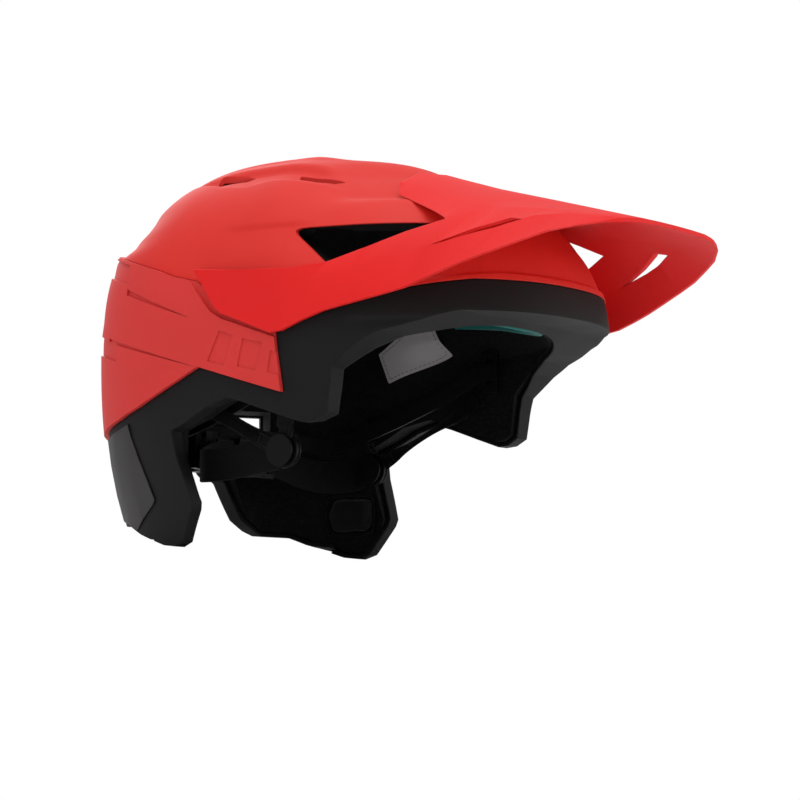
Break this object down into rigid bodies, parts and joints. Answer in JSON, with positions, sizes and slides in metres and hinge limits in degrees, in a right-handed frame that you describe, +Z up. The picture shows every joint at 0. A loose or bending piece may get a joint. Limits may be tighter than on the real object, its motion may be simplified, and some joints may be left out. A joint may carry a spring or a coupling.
{
  "type": "open-face trail bicycle helmet",
  "caption": "Open-face trail bicycle helmet with deep rear lobes, a tilting visor, a dial-adjusted fit cradle and a chin strap tucked inside.",
  "frame": {"origin": "on the ground plane under the middle of the overall box, lobes resting on it", "axes": "+X to the wearer's left, +Y to the back of the head, +Z up"},
  "size_m": [0.2096, 0.343, 0.2169],
  "materials": {
    "shell_red": "matte moulded shell",
    "shell_dark_red": "matte moulded shell, darker",
    "visor_red": "matte injection moulding",
    "lower_black": "matte moulded shell",
    "panel_grey": "satin moulded panel",
    "liner_foam": "moulded bead foam",
    "trim_teal": "elastic knit",
    "pad_cloth": "knitted cover over foam",
    "fit_plastic": "satin nylon",
    "webbing": "woven webbing",
    "label_grey": "plain printed-cloth grey"
  },
  "bodies": {
    "helmet": {"crown_shell": "shell_red", "rear_shell": "shell_dark_red", "lower_shell": "lower_black", "lobe_panel_left": "panel_grey", "lobe_panel_right": "panel_grey", "foam_liner": "liner_foam", "foam_lobe_left": "liner_foam", "foam_lobe_right": "liner_foam", "brow_trim": "trim_teal", "damping_discs": "trim_teal", "brow_pad": "pad_cloth", "crown_pad": "pad_cloth", "side_pad_left": "pad_cloth", "side_pad_right": "pad_cloth", "lobe_pad_left": "pad_cloth", "lobe_pad_right": "pad_cloth", "pivot_bush_left": "fit_plastic", "pivot_bush_right": "fit_plastic", "height_rail": "fit_plastic", "temple_clip_left": "fit_plastic", "temple_clip_right": "fit_plastic", "strap_anchors": "fit_plastic", "strap_divider_left": "fit_plastic", "strap_divider_right": "fit_plastic", "buckle_frame": "fit_plastic", "buckle_tongue": "fit_plastic", "strap_left": "webbing", "strap_right": "webbing", "chin_web_left": "webbing", "chin_web_right": "webbing", "sewn_label": "label_grey"},
    "visor": {"visor": "visor_red"},
    "cradle": {"cradle": "fit_plastic", "dial_housing": "fit_plastic", "dial_cover": "fit_plastic", "nape_pad": "pad_cloth", "band_left": "fit_plastic", "band_right": "fit_plastic"},
    "dial": {"fit_dial": "fit_plastic"},
    "rack_left": {"rack_left": "fit_plastic"},
    "rack_right": {"rack_right": "fit_plastic"},
    "buckle_lever": {"buckle_lever": "fit_plastic"}
  },
  "joints": [
    {"name": "visor_tilt", "type": "hinge", "parent": "helmet", "child": "visor", "pos_m": [0, 0.0345, 0.128], "axis": [-1, 0, 0], "range_deg": [0, 12]},
    {"name": "cradle_height", "type": "slide", "parent": "helmet", "child": "cradle", "axis": [0, 0, 1], "range_m": [-0.006, 0.006]},
    {"name": "dial_turn", "type": "hinge", "parent": "cradle", "child": "dial", "pos_m": [0, 0.1345, 0.059], "axis": [0, -1, 0], "range_deg": [-60, 60]},
    {"name": "rack_left_slide", "type": "slide", "parent": "cradle", "child": "rack_left", "axis": [-1, 0, 0], "range_m": [-0.0053, 0.0053]},
    {"name": "rack_right_slide", "type": "slide", "parent": "cradle", "child": "rack_right", "axis": [1, 0, 0], "range_m": [-0.0053, 0.0053]},
    {"name": "buckle_release", "type": "hinge", "parent": "helmet", "child": "buckle_lever", "pos_m": [0.008, 0.1045, 0.054], "axis": [0, 0, 1], "range_deg": [0, 30], "stiffness_Nm_per_rad": 0.02, "springref_deg": -5.73}
  ],
  "couplings": [
    {"joint": "rack_left_slide", "follows": "dial_turn", "m_per_rad": 0.005},
    {"joint": "rack_right_slide", "follows": "dial_turn", "m_per_rad": 0.005}
  ]
}
